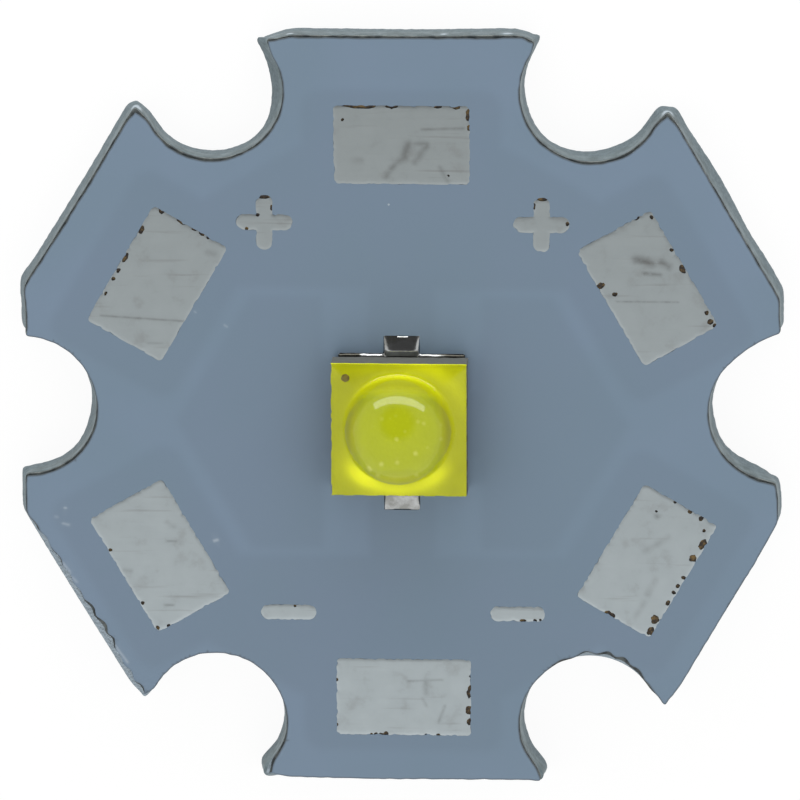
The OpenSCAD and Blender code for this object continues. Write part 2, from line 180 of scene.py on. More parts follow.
# Bare copper in the tin: place along the pad and outward from its centre, and reach; X and Y on a mark
BARE_SPOTS = {
    "pad_tin_top": (
        (-1.05, 1.06, 0.48, 0.1), (-0.26, 1.06, 0.16, 0.1), (0.94, 1.06, 0.13, 0.09),
        (1.4, 1.06, 0.15, 0.09), (1.76, 0.82, 0.1, 0.2), (1.77, 0.48, 0.07, 0.08),
        (-1.53, 0.66, 0.04, 0.04), (1.22, -0.8, 0.03, 0.03),
    ),
    "pad_tin_upper_left": (
        (1.05, 1.06, 0.14, 0.06), (0.2, 1.06, 0.15, 0.06), (-0.2, 1.05, 0.07, 0.05),
        (-0.46, 1.05, 0.06, 0.05), (1.75, 0.86, 0.06, 0.08), (1.77, 0.28, 0.05, 0.12),
        (1.77, -0.1, 0.04, 0.06), (1.77, -0.34, 0.06, 0.08), (1.76, -0.53, 0.05, 0.05),
        (-0.91, 1.03, 0.06, 0.04),
    ),
    "pad_tin_upper_right": (
        (-0.66, -1.02, 0.08, 0.11), (-0.28, -0.81, 0.06, 0.07), (1.32, 1.02, 0.06, 0.06),
        (1.58, 0.98, 0.08, 0.08), (1.72, 1.02, 0.05, 0.06), (-1.6, 1.04, 0.06, 0.05),
        (-1.76, 0.69, 0.04, 0.08), (-0.59, 1.06, 0.05, 0.05), (0.0, 1.05, 0.12, 0.08),
    ),
    "pad_tin_lower_right": (
        (-1.76, -0.17, 0.04, 0.05), (-1.74, 0.3, 0.06, 0.06), (-1.73, 0.64, 0.07, 0.06),
        (-1.48, 0.88, 0.05, 0.05), (-1.15, 1.03, 0.15, 0.09), (-0.68, 1.0, 0.1, 0.1),
        (-0.1, 1.06, 0.05, 0.06), (0.17, 1.04, 0.06, 0.06), (0.38, 1.04, 0.05, 0.06),
        (0.7, 1.05, 0.08, 0.06), (1.26, 0.98, 0.11, 0.11), (1.6, 1.04, 0.12, 0.09),
        (1.75, -0.1, 0.09, 0.17), (-1.3, -0.46, 0.03, 0.04),
    ),
    "pad_tin_bottom": (
        (-1.77, -0.59, 0.04, 0.05), (-1.76, -0.16, 0.1, 0.18), (-1.76, 0.36, 0.13, 0.13),
        (-1.76, 0.66, 0.11, 0.1), (0.87, 1.04, 0.05, 0.05), (0.74, 1.04, 0.06, 0.07),
        (0.61, 1.04, 0.06, 0.06), (0.47, 1.03, 0.07, 0.08), (-0.58, 1.04, 0.04, 0.05),
        (-0.9, 1.04, 0.05, 0.05), (1.76, -0.46, 0.04, 0.05), (1.77, 0.77, 0.04, 0.05),
    ),
    "pad_tin_lower_left": (
        (0.77, 1.06, 0.05, 0.05), (-0.89, 1.05, 0.05, 0.05), (-1.67, 1.05, 0.06, 0.05),
        (-1.76, 0.78, 0.05, 0.05),
    ),
    "plus_mark_left": (
        (0.0, 0.68, 0.15, 0.05), (-0.46, -0.17, 0.05, 0.05), (-0.17, 0.2, 0.05, 0.05),
        (0.19, 0.4, 0.04, 0.09),
    ),
    "plus_mark_right": (
        (0.02, 0.68, 0.15, 0.05), (-0.19, 0.5, 0.04, 0.08), (0.68, 0.03, 0.05, 0.06),
    ),
    "minus_mark_left": (
        (0.17, 0.18, 0.04, 0.04),
    ),
    "minus_mark_right": (
        (0.15, -0.18, 0.1, 0.04), (0.46, -0.17, 0.05, 0.04), (0.6, -0.16, 0.04, 0.04),
    ),
}

# Smudges and scratches on the tin: from and to on the board, half width and depth of tone
SMUDGES = (
    (-0.38, 6.26, -0.26, 6.48, 0.07, 0.35), (-0.26, 6.48, 0.08, 6.8, 0.08, 0.45),
    (0.08, 6.8, 0.21, 7.13, 0.11, 0.5), (0.37, 6.66, 0.67, 7.09, 0.08, 0.4),
    (0.21, 7.15, 0.68, 7.15, 0.06, 0.35), (0.54, 7.53, 1.62, 7.57, 0.04, 0.4),
    (1.0, 6.53, 1.22, 6.15, 0.06, 0.3), (-1.22, 6.69, -1.04, 6.69, 0.08, 0.25),
    (0.13, -7.38, 1.05, -7.33, 0.03, 0.3), (0.62, -7.37, 0.62, -7.7, 0.08, 0.35),
    (0.52, -7.85, 0.63, -8.07, 0.04, 0.25), (1.11, -8.04, 0.94, -8.5, 0.04, 0.3),
    (-6.22, -3.62, -5.92, -3.62, 0.03, 0.4), (-6.26, -5.37, -6.0, -5.37, 0.03, 0.4),
    (-6.18, -3.1, -6.0, -3.23, 0.07, 0.2), (-7.31, -4.42, -7.15, -4.45, 0.06, 0.25),
    (6.37, -3.74, 6.95, -3.39, 0.09, 0.22), (6.11, -5.55, 6.35, -5.15, 0.08, 0.22),
    (6.43, -4.93, 6.63, -4.53, 0.08, 0.25), (6.66, -2.8, 6.68, -2.81, 0.07, 0.5),
    (6.11, 4.12, 6.5, 4.01, 0.11, 0.65), (6.74, 4.04, 6.95, 3.93, 0.09, 0.6),
    (6.3, 3.74, 6.74, 3.71, 0.05, 0.5), (5.59, 2.98, 7.21, 2.98, 0.025, 0.4),
    (-7.86, 2.47, -5.69, 2.34, 0.03, 0.45), (-6.65, 1.74, -6.24, 1.74, 0.03, 0.3),
    (-5.06, 4.2, -4.85, 4.15, 0.08, 0.25),
)

# Solder bead at the middle of a land
TAB_HALF = 0.47
BEAD_H = 0.13
BEAD_PEAK = 0.34
SOLDER_GRID = 0.05
SOLDER_STEP = 0.04
LAND_STEP = 0.08
DARKER_ENDS_FROM = 0.95

# LED package, with how far it sits off its lands, and its dome off the package
PACKAGE_OFF = (-0.03, 0.03)
DOME_OFF = (-0.01, 0.04)
SCRIBE_STEP = 0.05
SCRIBE_ROWS = 12
SCRIBE_DEPTH = 0.02
PHOSPHOR_GRID = 0.07
PHOSPHOR_EDGE = 0.02
CROWN_FLANK = 0.16
DOME_R = 1.45
DOME_FOOT = 0.05
DOME_FILLET = 0.09
DOME_SIDES = 192
DOME_RINGS = 56
FILLET_RINGS = 8
SKIRT_ROUND = 0.02
DOT_SIDES = 40
DOT_PROFILE = ((1.0, 0.0), (0.97, 0.4), (0.86, 0.75), (0.6, 0.95), (0.2, 1.0))

# Painted glow on the coat where the dome would focus light: distance from its middle and spread, degrees
# round it and spread, level
PAINTED_CAUSTIC_GLOW = (
    (1.3, 0.16, 90, 50, 0.55), (1.62, 0.22, -128, 17, 0.42), (1.6, 0.2, -53, 15, 0.28),
    (1.66, 0.16, -90, 30, 0.2), (1.8, 0.25, 60, 40, 0.2),
)

# Painted shade at the dome's two sides, in the same terms
DOME_SHADE = ((0.97, 0.13, 180, 36, 0.45), (0.97, 0.13, 0, 36, 0.45))

PACKAGE_CENTRE = np.array(LED_CENTRE.xy) + PACKAGE_OFF

# Camera, from the photograph's frame: degrees, millimetres and pixels of an 800 x 800 picture
FRAME_PX = 800
PX_PER_MM = 38.3
CAMERA_LEAN_Y = 15.0
CAMERA_LEAN_X = 3.05
CAMERA_TURN = 0.6
CAMERA_FAR = 250.0
CLIP_NEAR = 10
CENTRE_PX = (401.9, 423.0)
SENSOR_W = 36.0

# Light: an even room, brighter on the minus side, a dim patch overhead, a low strip behind the plus side
STRIP_SIZE = (660, 105)
STRIP_FAR = 310
STRIP_ASIDE = 35
STRIP_RISE = 10.5
STRIP_RADIANCE = 5.0
ROOM = 1.02
MINUS_SIDE = 1.08
PLUS_SIDE = 0.94
DIM_LEAN = 30
DIM_LEVEL = 0.08
DIM_EDGE = (0.7, 0.92)
SIDE_SPAN = (-0.8, 0.4)
FLOOR_SIZE = 3000
FLOOR_GLOW = 1.03
FLOOR_SHARE = 0.9


def rim(node, z):
    """Outlines, in order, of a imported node's flat face at height z."""
    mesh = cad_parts[node].data
    corners = [tuple(round(c / MM, 4) for c in v.co) for v in mesh.vertices]
    used = {}
    for face in mesh.polygons:
        ring = [corners[i] for i in face.vertices]
        if all(abs(corner[2] - z) < 0.002 for corner in ring):
            for a, b in zip(ring, ring[1:] + ring[:1]):
                used[a[:2], b[:2]] = True
    following = {a: b for a, b in used if (b, a) not in used}
    loops = []
    while following:
        start, point = following.popitem()
        loop = [start]
        while point != start:
            loop.append(point)
            point = following.pop(point)
        loops.append(counter_clockwise(np.array(loop)))
    return loops


def counter_clockwise(loop):
    """The loop, turned so that it runs counter-clockwise."""
    x, y = loop.T
    area = np.dot(x, np.roll(y, -1)) - np.dot(y, np.roll(x, -1))
    return loop if area > 0 else loop[::-1]


def resample(loop, step):
    """The closed loop with its points about one step apart."""
    closed = np.vstack([loop, loop[:1]])
    along = np.concatenate([[0], np.cumsum(np.linalg.norm(np.diff(closed, axis=0), axis=1))])
    places = np.linspace(0, along[-1], max(8, round(along[-1] / step)), endpoint=False)
    return np.column_stack([np.interp(places, along, closed[:, axis]) for axis in (0, 1)])


def outward(loop):
    """Unit normals of a counter-clockwise loop, pointing out of it."""
    run = np.roll(loop, -1, axis=0) - np.roll(loop, 1, axis=0)
    normal = np.column_stack([run[:, 1], -run[:, 0]])
    return normal / np.linalg.norm(normal, axis=1)[:, None]


def eased(loop, passes):
    """The loop with its corners blunted by averaging neighbours."""
    for _ in range(passes):
        loop = (np.roll(loop, 1, axis=0) + 2 * loop + np.roll(loop, -1, axis=0)) / 4
    return loop


def middle_of(loop):
    """Middle of the box round a loop."""
    return (loop.min(axis=0) + loop.max(axis=0)) / 2


def at_height(plan, z):
    """Plan points raised to the height z."""
    return np.column_stack([plan, np.full(len(plan), z)])


def flat_at(z):
    """A face that is flat at the height z, for a sheet."""
    return lambda plan: np.full(len(plan), z)


def waviness(points, size, layer):
    """Smooth noise from -1 to 1 with waves of about the given size; each layer is another pattern."""
    return np.array([noise.noise(Vector((p[0] / size, p[1] / size, layer))) for p in points])


def smooth(value, low, high):
    """0 below low, 1 above high, eased between."""
    t = np.clip((value - low) / (high - low), 0, 1)
    return t * t * (3 - 2 * t)


def near(points, x, y, reach):
    """1 at a place on the board, falling off smoothly beyond the reach."""
    return np.exp(-((points - (x, y)) ** 2).sum(axis=1) / reach ** 2)


def inside(points, loop):
    """Which plan points lie inside the loop."""
    x, y = points.T
    hit = np.zeros(len(points), bool)
    for (x0, y0), (x1, y1) in zip(loop, np.roll(loop, -1, axis=0)):
        if y0 != y1:
            hit ^= ((y0 > y) != (y1 > y)) & (x < (x1 - x0) * (y - y0) / (y1 - y0) + x0)
    return hit


def distance(points, loop):
    """Distance of each plan point from the loop's line."""
    nearest = np.full(len(points), np.inf)
    for a, b in zip(loop, np.roll(loop, -1, axis=0)):
        run = b - a
        t = np.clip((points - a) @ run / max(run @ run, 1e-12), 0, 1)
        gap = points - a - t[:, None] * run
        nearest = np.minimum(nearest, np.einsum("ij,ij->i", gap, gap))
    return np.sqrt(nearest)


def grid(loop, step):
    """Staggered points inside a loop, kept off its line."""
    low, high = loop.min(axis=0), loop.max(axis=0)
    rows = np.arange(low[1], high[1], step * 0.866)
    columns = np.arange(low[0], high[0], step)
    points = np.array([(x + (k % 2) * step / 2, y) for k, y in enumerate(rows) for x in columns])
    points = points[inside(points, loop)]
    return points[distance(points, loop) > step * 0.4]


def write_mesh(name, places, faces, crease=40, **values):
    """A new object from points in millimetres, smooth up to the crease angle, with named point values."""
    mesh = bpy.data.meshes.new(name)
    mesh.from_pydata((np.asarray(places) * MM).tolist(), [], faces)
    mesh.shade_smooth()
    mesh.set_sharp_from_angle(angle=math.radians(crease))
    for label, value in values.items():
        layer = mesh.attributes.new(label, "FLOAT", "POINT")
        layer.data.foreach_set("value", np.asarray(value, np.float32))
    piece = bpy.data.objects.new(name, mesh)
    bpy.context.scene.collection.objects.link(piece)
    return piece


def sheet(name, outer, holes, sites, top, bottom, crease=40, **values):
    """A closed sheet with an outline and holes; top and bottom give the heights of its two faces."""
    loops = [outer, *holes]
    edges = []
    start = 0
    for loop in loops:
        edges += [(start + i, start + (i + 1) % len(loop)) for i in range(len(loop))]
        start += len(loop)
    corners = [Vector(p) for p in np.vstack([*loops, sites])]
    found = delaunay_2d_cdt(corners, edges, [], 0, 1e-6)
    plan = np.array([v[:] for v in found[0]])
    triangles = np.array(found[2])
    middle = plan[triangles].mean(axis=1)
    kept = inside(middle, outer)
    for hole in holes:
        kept &= ~inside(middle, hole)
    used, triangles = np.unique(triangles[kept], return_inverse=True)
    plan = plan[used]
    triangles = triangles.reshape(-1, 3)
    count = len(plan)
    directed = {(int(t[i]), int(t[(i + 1) % 3])) for t in triangles for i in range(3)}
    walls = [(b, a, a + count, b + count) for a, b in sorted(directed) if (b, a) not in directed]
    faces = triangles.tolist() + (triangles[:, ::-1] + count).tolist() + walls
    places = np.vstack([np.column_stack([plan, top(plan)]), np.column_stack([plan, bottom(plan)])])
    shades = {label: np.tile(value(plan), 2) for label, value in values.items()}
    return write_mesh(name, places, faces, crease, **shades)


def stack(name, rings, crease=40, **values):
    """A closed body from rings of points, each as long as the others, capped at both ends."""
    count = len(rings[0])
    faces = [
        (k * count + i, k * count + (i + 1) % count, (k + 1) * count + (i + 1) % count, (k + 1) * count + i)
        for k in range(len(rings) - 1)
        for i in range(count)
    ]
    faces.append(tuple(range(count))[::-1])
    faces.append(tuple((len(rings) - 1) * count + i for i in range(count)))
    return write_mesh(name, np.vstack(rings), faces, crease, **values)


def dress(piece, node, material):
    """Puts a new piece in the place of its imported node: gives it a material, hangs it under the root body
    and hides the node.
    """
    piece.data.materials.append(material)
    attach(piece, "root")
    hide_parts(node)
    return piece


def linear(code):
    """An sRGB hex colour as linear RGBA."""
    parts = [int(code[i:i + 2], 16) / 255 for i in (1, 3, 5)]
    return (*(c / 12.92 if c <= 0.04045 else ((c + 0.055) / 1.055) ** 2.4 for c in parts), 1.0)


def per(size):
    """Texture scale, in waves a metre, for a pattern of the given size in millimetres."""
    return 1 / (size * MM)


def add(tree, kind, inputs=None, **settings):
    """Adds a node, sets its properties, and sets or links its inputs by name or number."""
    made = tree.nodes.new("ShaderNode" + kind)
    for name, value in settings.items():
        setattr(made, name, value)
    for name, value in (inputs or {}).items():
        if isinstance(value, bpy.types.NodeSocket):
            tree.links.new(value, made.inputs[name])
        else:
            made.inputs[name].default_value = value
    return made


def point_value(tree, name):
    """A value that the mesh holds at its points."""
    return add(tree, "Attribute", attribute_name=name).outputs["Fac"]


def cloudy(tree, place, size, detail, roughness=0.5):
    """Cloudy noise from 0 to 1, with waves of the given size in millimetres."""
    inputs = {"Vector": place, "Scale": per(size), "Detail": detail, "Roughness": roughness}
    return add(tree, "TexNoise", inputs).outputs["Fac"]


def cells(tree, place, size):
    """Cells of the given size in millimetres: the distance from their middles, and a colour for each."""
    return add(tree, "TexVoronoi", {"Vector": place, "Scale": per(size)}).outputs


def blend(tree, share, low, high):
    """One colour turning into another by a share; each is a hex code or a socket."""
    low, high = (linear(colour) if isinstance(colour, str) else colour for colour in (low, high))
    return add(tree, "Mix", {"Factor": share, "A": low, "B": high}, data_type="RGBA").outputs["Result"]


def remap(tree, value, low, high, to_low=0.0, to_high=1.0, **settings):
    """A value carried from one range to another, and held at its ends."""
    inputs = {"Value": value, "From Min": low, "From Max": high, "To Min": to_low, "To Max": to_high}
    return add(tree, "MapRange", inputs, **settings).outputs["Result"]


def combine(tree, operation, first, second):
    """One sum or test on two values."""
    return add(tree, "Math", {0: first, 1: second}, operation=operation).outputs["Value"]


def relief(tree, height, strength, depth):
    """Normal of a surface with a fine relief of the given depth in millimetres."""
    inputs = {"Height": height, "Strength": strength, "Distance": depth * MM}
    return add(tree, "Bump", inputs).outputs["Normal"]


def start_material(name):
    """An empty material, its node tree and its object coordinates."""
    material = bpy.data.materials.new(name)
    material.use_nodes = True
    tree = material.node_tree
    tree.nodes.clear()
    place = add(tree, "TexCoord").outputs["Object"]
    return material, tree, place


def close_material(material, tree, inputs):
    """Ends a material in one Principled shader with the given inputs."""
    shader = add(tree, "BsdfPrincipled", inputs)
    add(tree, "OutputMaterial", {"Surface": shader.outputs["BSDF"]})
    return material


def punched_aluminium():
    """Aluminium sheared in a die: pale satin faces, drag lines down the edge, torn below, and bright facets
    that are partly burnish and partly painted highlight.
    """
    material, tree, place = start_material("punched_aluminium")
    torn = point_value(tree, "torn")
    downward = add(tree, "Mapping", {"Vector": place, "Scale": (1, 1, 0.12)}).outputs["Vector"]
    drag = cloudy(tree, downward, 0.07, 3)
    grain = cloudy(tree, place, 0.11, 4, 0.65)
    patchy = remap(tree, cloudy(tree, place, 0.4, 4, 0.6), 0.35, 0.65)
    smooth_tone = blend(tree, patchy, "#647174", "#808E93")
    torn_tone = blend(tree, grain, "#566266", "#8B999F")
    worked = blend(tree, torn, smooth_tone, torn_tone)
    # Painted highlight: the bright facets lighten the edge's colour, partly burnish and partly standing in
    # for reflections
    edge_tone = blend(tree, point_value(tree, "burnish_and_highlight"), worked, "#B8C4CC")
    facing = add(tree, "SeparateXYZ", {"Vector": add(tree, "TexCoord").outputs["Normal"]})
    level = add(tree, "Math", {0: facing.outputs["Z"]}, operation="ABSOLUTE").outputs["Value"]
    tone = blend(tree, remap(tree, level, 0.85, 0.95), edge_tone, "#A2AFB8")
    worked_relief = add(tree, "Mix", {"Factor": torn, "A": drag, "B": grain}).outputs["Result"]
    return close_material(material, tree, {
        "Base Color": tone,
        "Metallic": 1.0,
        "Roughness": remap(tree, torn, 0, 1, 0.5, 0.62),
        "Normal": relief(tree, worked_relief, 0.6, 0.04),
    })


def filled_epoxy():
    """Dark filled epoxy, bonded under heat: matt, grey-black and patchy where its broken edge shows."""
    material, tree, place = start_material("filled_epoxy")
    flakes = cloudy(tree, place, 0.25, 4)
    return close_material(material, tree, {
        "Base Color": blend(tree, remap(tree, flakes, 0.38, 0.68), "#3E4547", "#747A78"),
        "Roughness": 0.7,
        "Normal": relief(tree, flakes, 0.5, 0.02),
    })


def tarnished_copper():
    """Etched copper foil gone brown in air: dark brown with ochre patches, no shine left."""
    material, tree, place = start_material("tarnished_copper")
    patches = cloudy(tree, place, 0.12, 4)
    return close_material(material, tree, {
        "Base Color": blend(tree, remap(tree, patches, 0.46, 0.72), "#3F3832", "#8E7446"),
        "Metallic": 0.35,
        "Roughness": 0.6,
        "Normal": relief(tree, patches, 0.4, 0.01),
    })


def mask_ink():
    """Blue-grey solder mask, printed and cured: satin, darker over copper, with painted shade along its
    edges, scuffed.
    """
    material, tree, place = start_material("mask_ink")
    field = blend(tree, point_value(tree, "copper_below"), "#7A8EA3", "#76899D")
    drift = remap(tree, cloudy(tree, place, 3.2, 2), 0.35, 0.65, 0, 0.35)
    hue = blend(tree, drift, field, "#728998")
    dust = cells(tree, place, 2.4)
    draw = add(tree, "SeparateColor", {"Color": dust["Color"]}).outputs
    speck = combine(tree, "LESS_THAN", dust["Distance"], 0.022)
    chosen = combine(tree, "GREATER_THAN", draw["Red"], 0.8)
    dark = combine(tree, "GREATER_THAN", draw["Green"], 0.55)
    shown = combine(tree, "MULTIPLY", speck, chosen)
    inked = blend(tree, shown, hue, blend(tree, dark, "#A9B5BE", "#48545E"))
    # Painted shade: the ink is darkened in a narrow band along the mask's edge; worn holds the ink with
    # this shade
    worn = blend(tree, point_value(tree, "rubbed"), inked, "#4C565D")
    peel = cloudy(tree, place, 0.22, 2)
    return close_material(material, tree, {
        "Base Color": blend(tree, point_value(tree, "scuffed"), worn, "#C4CED6"),
        "Roughness": remap(tree, peel, 0, 1, 0.42, 0.54),
        "IOR": 1.5,
        "Normal": relief(tree, peel, 0.12, 0.01),
    })


def levelled_tin():
    """Tin levelled by hot air: satin grey, mottled, wiped faintly along X, with smudges and scratches;
    painted shade makes it darker towards plus Y.
    """
    material, tree, place = start_material("levelled_tin")
    cloud = cloudy(tree, place, 0.55, 5, 0.6)
    along_x = add(tree, "Mapping", {"Vector": place, "Scale": (0.06, 1, 1)}).outputs["Vector"]
    streak = cloudy(tree, along_x, 0.13, 3)
    spot = add(tree, "SeparateXYZ", {"Vector": place}).outputs
    # Painted shade: the tin's colour grows darker from minus Y towards plus Y
    shaded_towards_plus_y = blend(tree, remap(tree, spot["Y"], -6 * MM, 8 * MM), "#B2BBBE", "#9DA4A5")
    smeared = blend(tree, remap(tree, cloud, 0.56, 0.72, 0, 0.22), shaded_towards_plus_y, "#8A8683")
    wiped = blend(tree, remap(tree, streak, 0.62, 0.76, 0, 0.3), smeared, "#7A7673")
    return close_material(material, tree, {
        "Base Color": blend(tree, point_value(tree, "smudge"), wiped, "#55524E"),
        "Metallic": 1.0,
        "Roughness": remap(tree, cloud, 0.3, 0.7, 0.38, 0.55),
        "Normal": relief(tree, streak, 0.15, 0.01),
    })


def reflowed_solder():
    """Solder melted and set in place: a bright mirror with a slight frost, darker towards the ends of the
    plus side's fillet.
    """
    material, tree, place = start_material("reflowed_solder")
    frost = cells(tree, place, 0.06)["Distance"]
    cloud = cloudy(tree, place, 0.4, 3)
    metal = blend(tree, remap(tree, cloud, 0.42, 0.58), "#8E8F8C", "#B0B2B2")
    return close_material(material, tree, {
        "Base Color": blend(tree, point_value(tree, "flux"), metal, "#3B3A35"),
        "Metallic": 1.0,
        "Roughness": remap(tree, cloud, 0, 1, 0.3, 0.12),
        "Normal": relief(tree, frost, 0.12, 0.01),
    })


def gold_plating():
    """Thin gold plated on the LED's metal areas: warm yellow, satin, faintly grained."""
    material, tree, place = start_material("gold_plating")
    return close_material(material, tree, {
        "Base Color": blend(tree, cloudy(tree, place, 0.08, 3), "#C9A24A", "#E6C878"),
        "Metallic": 1.0,
        "Roughness": 0.32,
    })


def fired_ceramic():
    """Fired ceramic, scribed by laser and snapped: matt grey sides, burnt specks along the scribed line."""
    material, tree, place = start_material("fired_ceramic")
    grain = cloudy(tree, place, 0.1, 4)
    body = blend(tree, grain, "#444743", "#5F625D")
    burnt = remap(tree, cloudy(tree, place, 0.28, 3), 0.5, 0.58)
    where = combine(tree, "MULTIPLY", burnt, point_value(tree, "scribe"))
    return close_material(material, tree, {
        "Base Color": blend(tree, where, body, "#24231F"),
        "Roughness": 0.75,
        "IOR": 1.75,
        "Normal": relief(tree, grain, 0.3, 0.01),
    })


def phosphor_coat():
    """Phosphor powder set in silicone: lemon yellow, matt, pale grains, painted sparkle over the chip's
    lower half, a painted glow where the dome would focus light, painted shade at its sides.
    """
    material, tree, place = start_material("phosphor_coat")
    chip = point_value(tree, "over_chip")
    cloud = cloudy(tree, place, 0.5, 3)
    grain = cells(tree, place, 0.07)["Distance"]
    coat = blend(tree, cloud, "#DADD05", "#E6EA0A")
    raised = blend(tree, cloud, "#C4D008", "#D2DC10")
    base = blend(tree, chip, coat, raised)
    grainy = blend(tree, remap(tree, grain, 0.1, 0.3, 0.25, 0), base, "#E8F02A")
    # Painted sparkle: pale flecks over the lower half of the chip stand in for glints
    lump = cells(tree, place, 0.17)
    draw = add(tree, "SeparateColor", {"Color": lump["Color"]}).outputs
    core = remap(tree, lump["Distance"], 0.1, 0.36, 0.55, 0)
    chosen = combine(tree, "GREATER_THAN", draw["Red"], 0.45)
    painted_sparkle = combine(tree, "MULTIPLY", core, chosen)
    spot = add(tree, "SeparateXYZ", {"Vector": place}).outputs
    lower = remap(tree, spot["Y"], -0.35 * MM, 0.05 * MM, 1.0, 0.1)
    spread = combine(tree, "MULTIPLY", painted_sparkle, lower)
    with_sparkle = blend(tree, combine(tree, "MULTIPLY", spread, chip), grainy, "#F2F48C")
    return close_material(material, tree, {
        # Painted shade at the dome's sides darkens the coat
        "Base Color": blend(tree, point_value(tree, "shaded"), with_sparkle, "#7C7420"),
        "Roughness": 0.7,
        "Specular IOR Level": 0.25,
        # Painted light: the coat glows where the dome would focus light on it
        "Emission Color": linear("#F6F614"),
        "Emission Strength": point_value(tree, "gathered"),
        "Normal": relief(tree, grain, 0.25, 0.01),
    })


def dot_ink():
    """Printed ink dot: brown-grey, matt, a little uneven."""
    material, tree, place = start_material("dot_ink")
    tone = blend(tree, cloudy(tree, place, 0.08, 2), "#75682A", "#9A8A3E")
    return close_material(material, tree, {"Base Color": tone, "Roughness": 0.6})


def clear_silicone():
    """Clear silicone moulded over the chip: glossy, bends light like soft glass, faint mould waves."""
    material, tree, place = start_material("clear_silicone")
    return close_material(material, tree, {
        "Base Color": linear("#FBFBDA"),
        "Roughness": 0.06,
        "IOR": 1.41,
        "Transmission Weight": 1.0,
        "Normal": relief(tree, cloudy(tree, place, 0.7, 1), 0.05, 0.02),
    })


def chip_crystal():
    """Light-emitting crystal, ground and diced: smooth blue-grey under its phosphor."""
    material, tree, place = start_material("chip_crystal")
    tone = blend(tree, cloudy(tree, place, 0.4, 2), "#5F7280", "#8295A0")
    return close_material(material, tree, {"Base Color": tone, "Roughness": 0.25, "IOR": 2.3})


def white_paper():
    """White paper floor: matt; the eye, mirrors and glass see it almost evenly lit, with a soft shadow."""
    material, tree, place = start_material("white_paper")
    tone = blend(tree, cloudy(tree, place, 2.0, 2), "#F4F4F4", "#FBFBFB")
    matt = add(tree, "BsdfDiffuse", {"Color": tone})
    glow = add(tree, "Emission", {"Color": (1, 1, 1, 1), "Strength": FLOOR_GLOW})
    path = add(tree, "LightPath").outputs
    mirrored = combine(tree, "MAXIMUM", path["Is Camera Ray"], path["Is Glossy Ray"])
    seen = combine(tree, "MAXIMUM", mirrored, path["Is Transmission Ray"])
    share = combine(tree, "MULTIPLY", seen, FLOOR_SHARE)
    mixed = add(tree, "MixShader", {0: share, 1: matt.outputs["BSDF"], 2: glow.outputs["Emission"]})
    add(tree, "OutputMaterial", {"Surface": mixed.outputs["Shader"]})
    return material


def punched_outline():
    """The drawn star as the die cut it, each stretch a little off its line."""
    loop = resample(rim("dielectric_layer", COPPER_BOTTOM)[0], EDGE_STEP)
    shift = sum(near(loop, x, y, reach)[:, None] * (dx, dy) for x, y, reach, dx, dy in OUTLINE_STRAYS)
    return eased(loop + shift, 3)


def set_back(loop, layer):
    """How far the edge's chips set a layer back at each point: 0 is the mask, 1 the dark layer below it."""
    depth = np.zeros(len(loop))
    for x, y, reach, *depths in EDGE_CHIPS:
        depth = np.maximum(depth, depths[layer] * near(loop, x, y, reach))
    return depth * (0.92 + 0.2 * waviness(loop, 0.25, 23.0))


def punched_plate(star, material):
    """Aluminium plate: a rolled upper edge, a smooth sheared band, a torn, flared zone with blunt tips."""
    blunt = eased(star, BLUNT_PASSES)
    away = outward(blunt)
    wave = waviness(star, 1.3, 3.0)
    fine = waviness(star, 0.35, 7.0)
    broken = BREAK_DEPTH + BREAK_WAVE * wave + 0.3 * BREAK_WAVE * fine
    flaring = 1 - smooth(away[:, 1], 0.2, 0.9)
    stray = sum(near(star, x, y, reach)[:, None] * (dx, dy) for x, y, reach, dx, dy in UNDERSIDE_STRAYS)
    spread = away * (TORN_FLARE * flaring)[:, None] + (TORN_LEAN, 0) + stray
    early = np.clip(sum(near(star, *place) for place in EARLY_TEARS), 0, 1)
    low, high = (np.array(corner.xy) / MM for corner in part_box("aluminium_base"))
    rings = []
    torn = []
    bright = []
    for depth in BASE_TOP * np.linspace(0, 1, EDGE_ROWS) ** ROW_CROWDING:
        share = float(smooth(depth, 0, BLUNT_DEPTH))
        plan = star * (1 - share) + blunt * share
        rolled = ROLL * max(0.0, 1 - depth / ROLL) ** 2
        begin = 0.6 * broken * (1 - 0.9 * early)
        below = np.clip((depth - begin) / (BASE_TOP - begin), 0, 1) ** (1 - 0.65 * early)
        tear = smooth(depth, broken, broken + 0.08)
        grain = TORN_GRAIN * waviness(star, 0.12, depth / 0.12)
        plan = plan + spread * below[:, None] + away * (tear * grain - rolled)[:, None]
        rings.append(at_height(np.clip(plan, low, high), BASE_TOP - depth))
        torn.append(tear)
        # Where the facets of burnish and painted highlight lie, from the top of the edge down
        facet = sum(
            near(star, x, y, reach) * (1 - smooth(depth, 0.5 * deep, deep))
            for x, y, reach, deep in BURNISH_AND_HIGHLIGHT
        )
        bright.append(smooth(facet + 0.25 * fine, 0.35, 0.75) * smooth(depth, 0.03, 0.1))
    shades = {"torn": np.concatenate(torn[::-1]), "burnish_and_highlight": np.concatenate(bright[::-1])}
    plate = stack("plate", rings[::-1], crease=50, **shades)
    return dress(plate, "aluminium_base", material)


def insulating_layer(star, material):
    """Dark layer on the plate, its edge a little uneven where the die broke it."""
    uneven = LAYER_UNEVEN + LAYER_UNEVEN * waviness(star, 0.3, 11.0) + set_back(star, 1)
    edge = eased(star - outward(eased(star, EDGE_EASE)) * uneven[:, None], 1)
    sites = grid(edge, LAYER_GRID)
    layer = sheet("insulating_layer", edge, [], sites, flat_at(COPPER_BOTTOM), flat_at(BASE_TOP))
    return dress(layer, "dielectric_layer", material)


